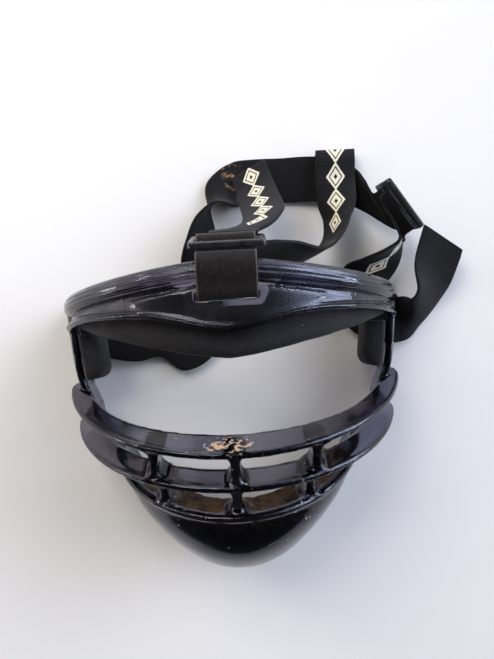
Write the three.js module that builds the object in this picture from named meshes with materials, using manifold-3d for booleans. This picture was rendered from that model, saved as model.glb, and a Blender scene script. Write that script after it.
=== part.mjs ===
// Fielding face mask lying on its open back: X across the face, Y towards the forehead, Z out of the face.
import * as THREE from 'three';
import { mergeVertices } from 'three/addons/utils/BufferGeometryUtils.js';
import Module from 'manifold-3d';

const wasm = await Module();
wasm.setup();

// Driving dimensions, in millimetres
const WALL = 3;
const GAP = 0.4;
const AROUND = 44;
const HALF_TURN = Math.PI / 2;

const BROW = { halfWidth: 89.5, depth: 89, topMiddle: 30.5, topDrop: 10.5, topBend: 1.3 };
const BROW_RIM = { y: 7, dip: 7.4, dipWidth: 24, endStart: 60, endSpan: 20, endDrop: 2 };
const TAB_SLOT = { x: 0.6, y: 14.4, width: 28, height: 4.2 };
const TEMPLE_SLOT = { y: 1.6, length: 27.5, z: 5.2, height: 4.4 };

const POST_ROWS = [
  { y: 18, halfWidth: 89.5, reach: 25 },
  { y: 5, halfWidth: 89.5, reach: 25 },
  { y: -20, halfWidth: 86.5, reach: 23 },
  { y: -33, halfWidth: 81.5, reach: 21 },
  { y: -48, halfWidth: 77, reach: 20 },
  { y: -60, halfWidth: 68.5, reach: 20 },
];

const FINS = [
  {
    inner: { halfWidth: 80, depth: 70.5, rearY: -25, lean: 0.32 },
    outer: { halfWidth: 91, depth: 88, rearY: -19.7, lean: 0.379 },
  },
  {
    inner: { halfWidth: 76, depth: 70, rearY: -38, lean: 0.36 },
    outer: { halfWidth: 87.6, depth: 85, rearY: -40, lean: 0.33 },
  },
];
const FIN = { thickness: 2.6, bead: 3.8, beadWidth: 3, endWidth: 0.2, endReach: 22 };

const CHIN_ROWS = [
  { rearY: -54, lean: 0.33, halfWidth: 67, depth: 82 },
  { rearY: -68, lean: 0.3, halfWidth: 60.5, depth: 80 },
  { rearY: -84, lean: 0.25, halfWidth: 49.5, depth: 73 },
  { rearY: -100, lean: 0.19, halfWidth: 37.5, depth: 60 },
  { rearY: -111, lean: 0.12, halfWidth: 26.5, depth: 44 },
  { rearY: -118, lean: 0.05, halfWidth: 14, depth: 22 },
  { rearY: -120, lean: 0, halfWidth: 0, depth: 0 },
];
const CHIN_RIM = { width: 4.5, thickness: 3.4 };

const WEB = { thickness: 4, flare: 2.6, flareSpan: 0.2, frontInset: 1.6, rearInset: 1.2 };
const UPPER_WEBS = [-36, 0, 36];
const LOWER_WEBS = [-33, 0, 33];
const LOWER_WEB_DEPTH = 9;

const BROW_PAD = { reach: 1.25, thickness: 10.5, top: 10.4, topRise: 3.5, low: -12, lowRise: 17.5, round: 2.5 };
const TEMPLE_PAD = { bottomY: -22.5, topY: 1.6, rear: 9.6, front: 30, thickness: 10.6, round: 3 };
const CHIN_PAD = { reach: 1.22, thickness: 16, start: 0.07, end: 0.62 };

const STRAP = { width: 25.4, thickness: 1.5 };
const TOP_STRAP_WIDTH = 22;
const SLIDE = { length: 22, thickness: 3, slotHeight: 5, centreBar: 4, sideBar: 2.5, round: 2 };
const FRONT_SLIDE = { width: 33, at: [1.2, 38.4, 80.5], along: [1, 0, 0], across: [0, 0.287, -0.958] };
const REAR_SLIDE = { width: 31.5, at: [94.2, 63.8, 17.2], along: [0.57, -0.8, -0.11], across: [0.05, -0.1, 0.99] };

// Curves and tables
const vec = ([x, y, z]) => new THREE.Vector3(x, y, z);

function ease(value) {
  const t = THREE.MathUtils.clamp(value, 0, 1);
  return t * t * (3 - 2 * t);
}

// A row between the rows of a table, on a smooth curve through each column
function rowAt(rows, share) {
  const place = THREE.MathUtils.clamp(share, 0, 1) * (rows.length - 1);
  const i = Math.min(Math.floor(place), rows.length - 2);
  const t = place - i;
  const row = {};
  for (const column of Object.keys(rows[0])) {
    const [a, b, c, d] = [i - 1, i, i + 1, i + 2].map(
      (k) => rows[THREE.MathUtils.clamp(k, 0, rows.length - 1)][column]);
    const leave = (c - a) / 2;
    const arrive = (d - b) / 2;
    row[column] = b + leave * t + (3 * (c - b) - 2 * leave - arrive) * t * t
      + (leave + arrive - 2 * (c - b)) * t * t * t;
  }
  return row;
}

// A point on a half ellipse that stands on the rear plane and leans towards the chin
function archPoint({ halfWidth, depth, rearY, lean }, angle) {
  const z = depth * Math.cos(angle);
  return new THREE.Vector3(halfWidth * Math.sin(angle), rearY - lean * z, z);
}

const archAngles = (reach = HALF_TURN, count = AROUND) =>
  Array.from({ length: count + 1 }, (_, i) => reach * ((2 * i) / count - 1));

// Closed solids from points
function solidGeometry(points, faces) {
  const corners = faces.flat().flatMap((i) => points[i].toArray());
  let geometry = new THREE.BufferGeometry();
  geometry.setAttribute('position', new THREE.Float32BufferAttribute(corners, 3));
  geometry = mergeVertices(geometry, 1e-4);
  const index = geometry.index.array;
  const kept = [];
  for (let i = 0; i < index.length; i += 3) {
    const [a, b, c] = index.subarray(i, i + 3);
    if (a !== b && b !== c && c !== a) {
      kept.push([a, b, c]);
    }
  }
  const at = (i) => new THREE.Vector3().fromBufferAttribute(geometry.attributes.position, i);
  const volume = kept.reduce((sum, [a, b, c]) => sum + at(a).dot(at(b).cross(at(c))), 0);
  geometry.setIndex(kept.flatMap(([a, b, c]) => (volume > 0 ? [a, b, c] : [a, c, b])));
  return geometry;
}

function capFaces(ring, first) {
  const normal = new THREE.Vector3();
  ring.forEach((point, i) => normal.add(point.clone().cross(ring[(i + 1) % ring.length])));
  normal.normalize();
  const across = ring[1].clone().sub(ring[0]).normalize();
  const up = normal.clone().cross(across);
  const flat = ring.map((point) => new THREE.Vector2(point.dot(across), point.dot(up)));
  return THREE.ShapeUtils.triangulateShape(flat, []).map((face) => face.map((i) => first + i));
}

// A solid through closed rings of equal count, capped at both ends
function sweep(rings) {
  const count = rings[0].length;
  const faces = [];
  for (let r = 0; r + 1 < rings.length; r += 1) {
    for (let i = 0; i < count; i += 1) {
      const j = (i + 1) % count;
      const [a, b, c, d] = [r * count + i, r * count + j, (r + 1) * count + j, (r + 1) * count + i];
      faces.push([a, b, c], [a, c, d]);
    }
  }
  const last = rings.length - 1;
  const start = capFaces(rings[0], 0).map(([a, b, c]) => [a, c, b]);
  const end = capFaces(rings[last], last * count);
  return solidGeometry(rings.flat(), [...faces, ...start, ...end]);
}

// A wall between two grids of points with the same rows and columns
function wallBetween(outer, inner) {
  const columns = outer[0].length;
  const boundary = [
    ...outer.map((row, r) => [r, 0]),
    ...outer[0].slice(1).map((_, c) => [outer.length - 1, c + 1]),
    ...outer.slice(0, -1).map((_, r) => [outer.length - 2 - r, columns - 1]),
    ...outer[0].slice(1, -1).map((_, c) => [0, columns - 2 - c]),
  ];
  const rows = outer.length;
  const id = (side, r, c) => side * rows * columns + r * columns + c;
  const faces = [];
  for (let r = 0; r + 1 < rows; r += 1) {
    for (let c = 0; c + 1 < columns; c += 1) {
      faces.push([id(0, r, c), id(0, r + 1, c), id(0, r + 1, c + 1)]);
      faces.push([id(0, r, c), id(0, r + 1, c + 1), id(0, r, c + 1)]);
      faces.push([id(1, r, c), id(1, r + 1, c + 1), id(1, r + 1, c)]);
      faces.push([id(1, r, c), id(1, r, c + 1), id(1, r + 1, c + 1)]);
    }
  }
  boundary.forEach(([r, c], i) => {
    const [nextR, nextC] = boundary[(i + 1) % boundary.length];
    faces.push([id(0, r, c), id(1, nextR, nextC), id(0, nextR, nextC)]);
    faces.push([id(0, r, c), id(1, r, c), id(1, nextR, nextC)]);
  });
  return solidGeometry([...outer.flat(), ...inner.flat()], faces);
}

// Joining and cutting
function toSolid(geometry) {
  let bare = geometry.clone();
  bare.deleteAttribute('normal');
  bare.deleteAttribute('uv');
  bare = mergeVertices(bare, 1e-4);
  return new wasm.Manifold(new wasm.Mesh({
    numProp: 3,
    vertProperties: new Float32Array(bare.attributes.position.array),
    triVerts: new Uint32Array(bare.index.array),
  }));
}

function toGeometry(solid) {
  const mesh = solid.getMesh();
  const geometry = new THREE.BufferGeometry();
  geometry.setAttribute('position', new THREE.Float32BufferAttribute(mesh.vertProperties, 3));
  geometry.setIndex(Array.from(mesh.triVerts));
  geometry.computeVertexNormals();
  return geometry;
}

// Brow band: a rolled top edge, a plain panel and a rim bead, swept round the forehead
const browTop = (x) => BROW.topMiddle - BROW.topDrop * Math.abs(x / BROW.halfWidth) ** BROW.topBend;

function browBottom(x) {
  const dip = BROW_RIM.dip * Math.exp(-((x / BROW_RIM.dipWidth) ** 2));
  const end = Math.max(Math.abs(x) - BROW_RIM.endStart, 0) / BROW_RIM.endSpan;
  return BROW_RIM.y - dip - BROW_RIM.endDrop * end * end;
}

// A point at a height on the brow, a distance out from the panel's face
function browPoint(angle, out, y) {
  const face = archPoint({ ...BROW, rearY: 0, lean: 0 }, angle);
  const normal = new THREE.Vector3(Math.sin(angle) / BROW.halfWidth, 0, Math.cos(angle) / BROW.depth).normalize();
  return face.addScaledVector(normal, out).setY(y);
}

function browSection(angle) {
  const x = BROW.halfWidth * Math.sin(angle);
  const top = browTop(x);
  const low = browBottom(x);
  const rows = [
    { out: -WALL, y: low + 0.8 },
    { out: -1.4, y: low },
    { out: 1, y: low },
    { out: 1.8, y: low + 1.4 },
    { out: 1, y: low + 2.8 },
    { out: 0, y: low + 3.6 },
    { out: 0, y: top - 11.4 },
    { out: -0.8, y: top - 10.4 },
    { out: 1.4, y: top - 9 },
    { out: 3, y: top - 5.8 },
    { out: 2.4, y: top - 2 },
    { out: 0.4, y: top },
    { out: -2.6, y: top - 0.2 },
    { out: -4, y: top - 2.4 },
    { out: -WALL, y: top - 5 },
  ];
  const grounded = ({ out, y }) => {
    const point = browPoint(angle, out, y);
    return point.setZ(Math.max(point.z, 0));
  };
  return rows.map(grounded);
}

const brow = toSolid(sweep(archAngles().map(browSection)));
const tabSlot = new THREE.BoxGeometry(TAB_SLOT.width, TAB_SLOT.height, 4 * WALL);
tabSlot.translate(TAB_SLOT.x, TAB_SLOT.y, BROW.depth);

// Side posts: strips of the wall from the brow's ends down to the chin cup, slotted at the temples
function postWall(side) {
  const surface = (inset) => Array.from({ length: 13 }, (_, r) => {
    const { y, halfWidth, reach } = rowAt(POST_ROWS, r / 12);
    return [0, 0.25, 0.5, 0.75, 1].map((share) => {
      const z = share * reach;
      const x = (halfWidth - inset) * Math.sqrt(1 - (z / BROW.depth) ** 2);
      return new THREE.Vector3(side * x, y, z);
    });
  });
  return toSolid(wallBetween(surface(0), surface(WALL)));
}

function templeSlot(side) {
  const slot = new THREE.BoxGeometry(8 * WALL, TEMPLE_SLOT.length, TEMPLE_SLOT.height);
  slot.translate(side * BROW.halfWidth, TEMPLE_SLOT.y, TEMPLE_SLOT.z);
  return toSolid(slot);
}

// Fins: shelves that stand out round the lower face, with a thicker outer edge
function finEdges(fin, angle) {
  const inner = archPoint(fin.inner, angle);
  const outer = archPoint(fin.outer, angle);
  const width = FIN.endWidth + (1 - FIN.endWidth) * ease(outer.z / FIN.endReach);
  return { inner, outer: inner.clone().lerp(outer, width) };
}

function finSection(fin, angle) {
  const { inner, outer } = finEdges(fin, angle);
  const along = outer.clone().sub(inner).normalize();
  const across = new THREE.Vector3(0, 1, 0).addScaledVector(along, -along.y).normalize();
  const place = (base, step, rise) => {
    const point = base.clone().addScaledVector(along, step).addScaledVector(across, rise);
    return point.setZ(Math.max(point.z, 0));
  };
  const half = FIN.thickness / 2;
  const bead = FIN.bead / 2;
  return [
    place(inner, 0, -half),
    place(outer, -FIN.beadWidth, -half),
    place(outer, -FIN.beadWidth / 2, -bead),
    place(outer, 0, -half),
    place(outer, 0, half),
    place(outer, -FIN.beadWidth / 2, bead),
    place(outer, -FIN.beadWidth, half),
    place(inner, 0, half),
  ];
}

const finSolid = (fin) => toSolid(sweep(archAngles().map((angle) => finSection(fin, angle))));

// Chin cup: a bowl open to the rear and to the face, with a lip round its front rim
function chinSurface(inset, from, to, reach, rowCount, columnCount) {
  return Array.from({ length: rowCount + 1 }, (_, r) => {
    const share = from + ((to - from) * r) / rowCount;
    const row = rowAt(CHIN_ROWS, share);
    const shrunk = {
      lean: row.lean,
      rearY: row.rearY + inset * share,
      halfWidth: Math.max(row.halfWidth - inset, 0),
      depth: Math.max(row.depth - inset, 0),
    };
    return archAngles(reach, columnCount).map((angle) => archPoint(shrunk, angle));
  });
}

function chinLipSection(angle) {
  const rim = archPoint(CHIN_ROWS[0], angle);
  const inward = new THREE.Vector3(-Math.sin(angle), 0, -Math.cos(angle));
  const half = CHIN_RIM.thickness / 2;
  const place = (step, rise) => {
    const point = rim.clone().addScaledVector(inward, step);
    return point.setY(point.y + rise).setZ(Math.max(point.z, 0));
  };
  return [
    place(-0.8, -half / 2), place(-0.8, half / 2), place(0.6, half),
    place(CHIN_RIM.width - 0.6, half), place(CHIN_RIM.width, 0), place(CHIN_RIM.width - 0.6, -half),
    place(0.6, -half),
  ];
}

const chinCup = toSolid(wallBetween(
  chinSurface(0, 0, 1, HALF_TURN, 14, 32), chinSurface(WALL, 0, 1, HALF_TURN, 14, 32)));
const chinLip = toSolid(sweep(archAngles(HALF_TURN, 32).map(chinLipSection)));

// Webs: upright plates between the fins, and between the lower fin and the chin cup
const angleAt = (arch, x) => Math.asin(x / arch.halfWidth);

function finWebEdges(fin, x) {
  const front = archPoint(fin.outer, angleAt(fin.outer, x));
  const rear = archPoint(fin.inner, angleAt(fin.inner, x));
  const inward = rear.clone().sub(front).normalize();
  front.addScaledVector(inward, WEB.frontInset);
  rear.addScaledVector(inward, -WEB.rearInset);
  return { front, rear };
}

function chinWebEdges(x) {
  const rim = CHIN_ROWS[0];
  const front = archPoint(rim, angleAt(rim, x)).add(new THREE.Vector3(0, 0, -WEB.frontInset));
  const rear = front.clone().add(new THREE.Vector3(0, rim.lean, -1).multiplyScalar(LOWER_WEB_DEPTH));
  return { front, rear };
}

function webSolid(x, upper, lower) {
  const stations = [
    { share: 0, flare: 1 }, { share: WEB.flareSpan / 2, flare: 0.4 }, { share: WEB.flareSpan, flare: 0.1 },
    { share: 0.5, flare: 0 },
    { share: 1 - WEB.flareSpan, flare: 0.1 }, { share: 1 - WEB.flareSpan / 2, flare: 0.4 }, { share: 1, flare: 1 },
  ];
  return toSolid(sweep(stations.map(({ share, flare }) => {
    const half = WEB.thickness / 2 + WEB.flare * flare;
    const front = upper.front.clone().lerp(lower.front, share).setX(x);
    const rear = upper.rear.clone().lerp(lower.rear, share).setX(x);
    const aside = new THREE.Vector3(half, 0, 0);
    return [rear.clone().sub(aside), rear.clone().add(aside), front.clone().add(aside), front.clone().sub(aside)];
  })));
}

const webs = [
  ...UPPER_WEBS.map((x) => webSolid(x, finWebEdges(FINS[0], x), finWebEdges(FINS[1], x))),
  ...LOWER_WEBS.map((x) => webSolid(x, finWebEdges(FINS[1], x), chinWebEdges(x))),
];

const shell = [postWall(-1), postWall(1), ...FINS.map(finSolid), chinCup, chinLip, ...webs]
  .reduce((whole, piece) => whole.add(piece), brow)
  .subtract(toSolid(tabSlot))
  .subtract(templeSlot(-1))
  .subtract(templeSlot(1));

// Brow pad: a foam strip behind the brow band that hangs below its rim
function browPadSection(angle) {
  const share = Math.abs(Math.sin(angle));
  const top = BROW_PAD.top + BROW_PAD.topRise * share ** 2;
  const low = BROW_PAD.low + BROW_PAD.lowRise * share ** 1.3;
  const front = -WALL - GAP;
  const rear = front - BROW_PAD.thickness;
  const round = Math.min(BROW_PAD.round, (top - low) / 3);
  return [
    browPoint(angle, front, low + round), browPoint(angle, front, top),
    browPoint(angle, rear + round, top), browPoint(angle, rear, top - round),
    browPoint(angle, rear, low + round), browPoint(angle, rear + round, low),
    browPoint(angle, front - round, low),
  ];
}

const browPad = sweep(archAngles(BROW_PAD.reach, 28).map(browPadSection));

// Temple pads: foam blocks on the inside of the side posts
function templePad(side) {
  const heights = [0, 0.12, 0.35, 0.65, 0.88, 1];
  const rings = heights.map((share) => {
    const y = THREE.MathUtils.lerp(TEMPLE_PAD.bottomY, TEMPLE_PAD.topY, share);
    const place = (POST_ROWS[1].y - y) / (POST_ROWS[1].y - POST_ROWS[2].y);
    const halfWidth = rowAt(POST_ROWS, (1 + place) / (POST_ROWS.length - 1)).halfWidth;
    const rim = share === 0 || share === 1 ? TEMPLE_PAD.round : 0;
    const wallAt = (z) => (halfWidth - WALL) * Math.sqrt(1 - (z / BROW.depth) ** 2) - GAP - 0.6;
    const [rear, front] = [TEMPLE_PAD.rear + rim, TEMPLE_PAD.front - rim];
    const face = wallAt(front) - TEMPLE_PAD.thickness + rim;
    const corner = TEMPLE_PAD.round;
    const outline = [
      [wallAt(rear), rear], [wallAt((rear + front) / 2), (rear + front) / 2], [wallAt(front), front],
      [face + corner, front], [face, front - corner], [face, rear + corner], [face + corner, rear],
    ];
    return outline.map(([x, z]) => new THREE.Vector3(side * x, y, z));
  });
  return sweep(rings);
}

// Chin pad: a thick foam lining of the chin cup
const chinPad = wallBetween(
  chinSurface(WALL + GAP, CHIN_PAD.start, CHIN_PAD.end, CHIN_PAD.reach, 7, 22),
  chinSurface(WALL + CHIN_PAD.thickness, CHIN_PAD.start, CHIN_PAD.end, CHIN_PAD.reach, 7, 22));

// Straps: flat webbing through stations, each a middle point and the direction across the webbing
function ribbon(stations, width, steps) {
  const middle = new THREE.CatmullRomCurve3(stations.map(({ at }) => vec(at)), false, 'centripetal');
  const acrossLine = new THREE.CatmullRomCurve3(stations.map(({ across }) => vec(across).normalize()));
  const rings = Array.from({ length: steps + 1 }, (_, i) => {
    const t = i / steps;
    const point = middle.getPoint(t);
    const across = acrossLine.getPoint(t).normalize();
    const face = middle.getTangent(t).cross(across).normalize();
    const corner = (side, lift) => point.clone()
      .addScaledVector(across, (side * width) / 2)
      .addScaledVector(face, (lift * STRAP.thickness) / 2);
    return [corner(-1, -1), corner(1, -1), corner(1, 1), corner(-1, 1)];
  });
  return sweep(rings);
}

const sideways = [1, 0, 0];
const tabStation = (y, z) => ({ at: [TAB_SLOT.x, y, z], across: sideways });

// A station beside the front slide, measured along the slide's length and out from its middle
function slideStation(x, along, out) {
  const [, lengthY, lengthZ] = FRONT_SLIDE.across;
  const [, y, z] = FRONT_SLIDE.at;
  return { at: [x, y + along * lengthY - out * lengthZ, z + along * lengthZ + out * lengthY], across: sideways };
}

const frontTab = ribbon([
  tabStation(31.2, 80.6), tabStation(26, 82.4), tabStation(19, 82.6), tabStation(15.4, 83.6),
  tabStation(14.3, 86.4), tabStation(13.9, 89), tabStation(15.2, 90.8), tabStation(19.4, 92),
  tabStation(24.6, 93.6), tabStation(28.6, 93.4), tabStation(31.8, 91),
  slideStation(TAB_SLOT.x, -8.7, -3), slideStation(TAB_SLOT.x, -5.6, -2.4), slideStation(TAB_SLOT.x, -4.3, 0),
  slideStation(TAB_SLOT.x, -2.7, 2.4), slideStation(TAB_SLOT.x, 0, 3.1), slideStation(TAB_SLOT.x, 2.9, 2.2),
  slideStation(TAB_SLOT.x, 3.5, 0), slideStation(TAB_SLOT.x, 3.1, -2.8), slideStation(TAB_SLOT.x, 1, -4.4),
], STRAP.width, 72);

const topStrap = ribbon([
  { at: [13.2, 91.5, 4.3], across: [0.88, 0.46, 0] },
  { at: [15.5, 80, 13], across: [0.9, 0.42, 0.1] },
  { at: [17.8, 66, 32], across: [0.92, 0.38, 0] },
  { at: [18, 54, 54], across: [0.93, 0.33, -0.1] },
  { at: [11, 46.8, 67], across: [0.98, 0.15, -0.1] },
  slideStation(4.6, 9.4, 3.2), slideStation(3.8, 6, 2.5), slideStation(3.8, 5.6, 0),
  slideStation(3.8, 6, -2.5), slideStation(4.2, 9.8, -3.4),
  { at: [8, 38.2, 62], across: [0.85, 0.1, 0.5] },
  { at: [18, 37.6, 54], across: [0.5, 0.25, 0.85] },
  { at: [31, 36.4, 47], across: [0.3, 0.35, 0.9] },
  { at: [45, 37, 38], across: [0.3, 0.1, 0.95] },
  { at: [55, 46, 28], across: [0.3, 0, 0.95] },
  { at: [59.5, 58, 19], across: [0.5, -0.05, 0.87] },
  { at: [61, 70, 12.5], across: [0.92, 0, 0.4] },
  { at: [61.8, 82, 8], across: [1, 0, 0.03] },
  { at: [62.4, 95, 7.4], across: sideways },
  { at: [62.8, 99.4, 4.8], across: sideways },
  { at: [62.8, 96, 1.5], across: sideways },
  { at: [62.8, 84, 1.4], across: sideways },
], TOP_STRAP_WIDTH, 84);

const rearBand = ribbon([
  { at: [-90.2, 1.6, 5.2], across: [0, 1, 0] },
  { at: [-80, 1.6, 5.2], across: [0, 1, 0] },
  { at: [-67, -1, 4.2], across: [0, 1, 0.05] },
  { at: [-55, -2.6, 3], across: [0, 1, 0] },
  { at: [-43, -0.6, 3.6], across: [-0.05, 1, 0.05] },
  { at: [-32, -9.4, 3], across: [-0.2, 0.98, 0] },
  { at: [-22.4, -6, 3], across: [-0.72, 0.7, 0.05] },
  { at: [-18.4, 5, 4], across: [-1, 0.05, 0.05] },
  { at: [-16.4, 21, 6], across: [-1, 0.05, 0.05] },
  { at: [-15.4, 36, 8.4], across: [-0.93, 0.1, 0.3] },
  { at: [-14.6, 49, 11.4], across: [-0.6, 0.1, 0.78] },
  { at: [-12.4, 60.4, 13.6], across: [-0.3, 0.05, 0.95] },
  { at: [-8.6, 69.6, 13.4], across: [0.15, -0.1, 0.98] },
  { at: [-2.2, 77.8, 6.8], across: [0.6, -0.7, 0.38] },
  { at: [6.4, 84, 2], across: [0.12, -0.99, 0.04] },
  { at: [16, 84.8, 1.5], across: [0, -1, 0] },
  { at: [34, 84.8, 1.6], across: [0, -1, 0] },
  { at: [50, 84.2, 3.8], across: [0, -1, 0] },
  { at: [63, 83.2, 4.5], across: [0.02, -1, 0] },
  { at: [75, 77, 4.8], across: [0.15, -0.97, -0.02] },
  { at: [82, 69.4, 7.6], across: [0.36, -0.9, -0.15] },
  { at: [88.6, 61.8, 11.7], across: REAR_SLIDE.along },
  { at: [92.7, 63.7, 12.7], across: REAR_SLIDE.along },
], STRAP.width, 88);

const sideStrap = ribbon([
  { at: [93.5, 60.5, 22.1], across: REAR_SLIDE.along },
  { at: [90, 57, 19.4], across: [0.57, -0.75, -0.33] },
  { at: [93.6, 52, 14.4], across: [0.5, -0.5, -0.7] },
  { at: [95.5, 46, 13], across: [0.3, 0.1, -0.95] },
  { at: [91.5, 40, 13], across: [0.55, 0.05, -0.83] },
  { at: [84, 33.5, 12], across: [0.85, -0.15, -0.5] },
  { at: [75, 26.5, 9.2], across: [0.93, -0.36, 0] },
  { at: [71.6, 16.5, 5.6], across: [1, 0, 0] },
  { at: [75.6, 6.4, 5.2], across: [0.74, 0.67, 0] },
  { at: [86.5, 1.6, 5.2], across: [0.08, 1, 0] },
  { at: [95.5, 1.8, 5.8], across: [-0.08, 0.98, 0.15] },
  { at: [102.6, 5.4, 11.4], across: [-0.4, 0.5, 0.76] },
  { at: [109, 14, 14], across: [-0.65, 0.25, 0.72] },
  { at: [113.5, 29, 13], across: [-0.9, 0.35, 0.25] },
  { at: [119.6, 46, 12], across: [-0.81, 0.59, 0] },
], STRAP.width, 64);

// Slides: flat moulded frames with a middle bar
function slideGeometry(width) {
  const [w, l, r] = [width / 2, SLIDE.length / 2, SLIDE.round];
  const outline = new THREE.Shape();
  outline.moveTo(-w + r, -l);
  outline.lineTo(w - r, -l).quadraticCurveTo(w, -l, w, -l + r);
  outline.lineTo(w, l - r).quadraticCurveTo(w, l, w - r, l);
  outline.lineTo(-w + r, l).quadraticCurveTo(-w, l, -w, l - r);
  outline.lineTo(-w, -l + r).quadraticCurveTo(-w, -l, -w + r, -l);
  for (const side of [-1, 1]) {
    const middle = side * (SLIDE.centreBar + SLIDE.slotHeight) / 2;
    const [x, low, high] = [w - SLIDE.sideBar, middle - SLIDE.slotHeight / 2, middle + SLIDE.slotHeight / 2];
    const corners = [[-x, low], [-x, high], [x, high], [x, low]];
    outline.holes.push(new THREE.Path(corners.map(([a, b]) => new THREE.Vector2(a, b))));
  }
  const geometry = new THREE.ExtrudeGeometry(outline, { depth: SLIDE.thickness, bevelEnabled: false, curveSegments: 4 });
  return geometry.translate(0, 0, -SLIDE.thickness / 2);
}

function placeSlide(mesh, { at, along, across }) {
  const x = vec(along).normalize();
  const z = x.clone().cross(vec(across)).normalize();
  const y = z.clone().cross(x);
  mesh.quaternion.setFromRotationMatrix(new THREE.Matrix4().makeBasis(x, y, z));
  mesh.position.copy(vec(at));
  return mesh;
}

// Materials and scene graph
const polycarbonate = { color: 0x2b2c3c, roughness: 0.12, metalness: 0, transparent: true, opacity: 0.75 };
const foam = { color: 0x2a292a, roughness: 0.95, metalness: 0 };
const webbing = { color: 0x1c1a1c, roughness: 0.9, metalness: 0 };
const tabWebbing = { color: 0x2c2624, roughness: 0.95, metalness: 0 };
const slidePlastic = { color: 0x17171a, roughness: 0.3, metalness: 0 };

function piece(name, geometry, finish) {
  geometry.computeVertexNormals();
  const mesh = new THREE.Mesh(geometry, new THREE.MeshStandardMaterial(finish));
  mesh.name = name;
  return mesh;
}

const mask = new THREE.Group();
mask.add(
  piece('shell', toGeometry(shell), polycarbonate),
  piece('brow_pad', browPad, foam),
  piece('temple_pad_left', templePad(-1), foam),
  piece('temple_pad_right', templePad(1), foam),
  piece('chin_pad', chinPad, foam),
  piece('front_tab', frontTab, tabWebbing),
  placeSlide(piece('front_slide', slideGeometry(FRONT_SLIDE.width), slidePlastic), FRONT_SLIDE),
  piece('top_strap', topStrap, webbing),
  piece('rear_band', rearBand, webbing),
  placeSlide(piece('rear_slide', slideGeometry(REAR_SLIDE.width), slidePlastic), REAR_SLIDE),
  piece('side_strap_right', sideStrap, webbing),
);

// The origin is under the middle of the whole object, on the surface that it lies on
mask.updateMatrixWorld(true);
const middle = new THREE.Box3().setFromObject(mask, true).getCenter(new THREE.Vector3());
mask.position.set(-middle.x, -middle.y, 0);

export default mask;
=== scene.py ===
import math

import bpy
from mathutils import Matrix, Vector, noise


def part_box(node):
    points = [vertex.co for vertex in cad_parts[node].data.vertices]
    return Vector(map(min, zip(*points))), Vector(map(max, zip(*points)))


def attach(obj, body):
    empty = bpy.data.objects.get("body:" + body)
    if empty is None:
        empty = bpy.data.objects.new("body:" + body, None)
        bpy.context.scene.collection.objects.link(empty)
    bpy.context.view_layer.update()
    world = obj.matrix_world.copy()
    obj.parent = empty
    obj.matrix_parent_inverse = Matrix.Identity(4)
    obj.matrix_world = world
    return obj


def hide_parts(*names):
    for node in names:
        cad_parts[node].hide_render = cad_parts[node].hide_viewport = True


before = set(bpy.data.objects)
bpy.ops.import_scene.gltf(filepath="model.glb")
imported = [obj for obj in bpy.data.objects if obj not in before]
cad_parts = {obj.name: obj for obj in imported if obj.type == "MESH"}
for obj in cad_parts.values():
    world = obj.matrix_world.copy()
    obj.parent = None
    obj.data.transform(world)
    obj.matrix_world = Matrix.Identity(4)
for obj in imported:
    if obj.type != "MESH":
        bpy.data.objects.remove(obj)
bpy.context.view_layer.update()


# Camera: straight above the mask, as in the photograph, 313 mm over the surface and turned a little.
# All sizes below are millimetres from the mask's middle plane and rear plane, and place() puts them into the frame.
BROW_TOP = 30.5
shell_low, shell_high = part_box("shell")
MIDDLE_X = (shell_low[0] + shell_high[0]) / 2
ZERO_Y = shell_high[1] - BROW_TOP / 1000


def place(point):
    return Vector((MIDDLE_X + point[0] / 1000, ZERO_Y + point[1] / 1000, point[2] / 1000))


CAMERA_AT = (7.8, 0, 313)
CAMERA_TURN = -2.8
FOCAL_PIXELS = 540
FRAME_HEIGHT_PIXELS = 659
SENSOR = 36
bpy.ops.object.select_all(action="DESELECT")
bpy.ops.object.camera_add(location=place(CAMERA_AT), rotation=(0, 0, math.radians(CAMERA_TURN)))
camera = bpy.context.object
camera.data.sensor_width = SENSOR
camera.data.lens = SENSOR * FOCAL_PIXELS / FRAME_HEIGHT_PIXELS
camera.data.clip_start = 0.01
bpy.context.scene.camera = camera


# Light: a dim room with two broad soft boxes, a cool one on the right and a weaker warm one on the left.
# They fade out at their edges, so the moulding shows long soft streaks. One large lamp adds a gentle shadow,
# and four small ones draw thin lights along the brow's edges and the posts.
def linear(colour):
    channels = [int(colour[i:i + 2], 16) / 255 for i in (1, 3, 5)]
    return [c / 12.92 if c <= 0.04045 else ((c + 0.055) / 1.055) ** 2.4 for c in channels] + [1]


def add(material, kind, inputs=None, **settings):
    node = material.node_tree.nodes.new(kind)
    for name, value in settings.items():
        setattr(node, name, value)
    for name, value in (inputs or {}).items():
        if isinstance(value, bpy.types.NodeSocket):
            material.node_tree.links.new(value, node.inputs[name])
        else:
            node.inputs[name].default_value = value
    return node


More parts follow.
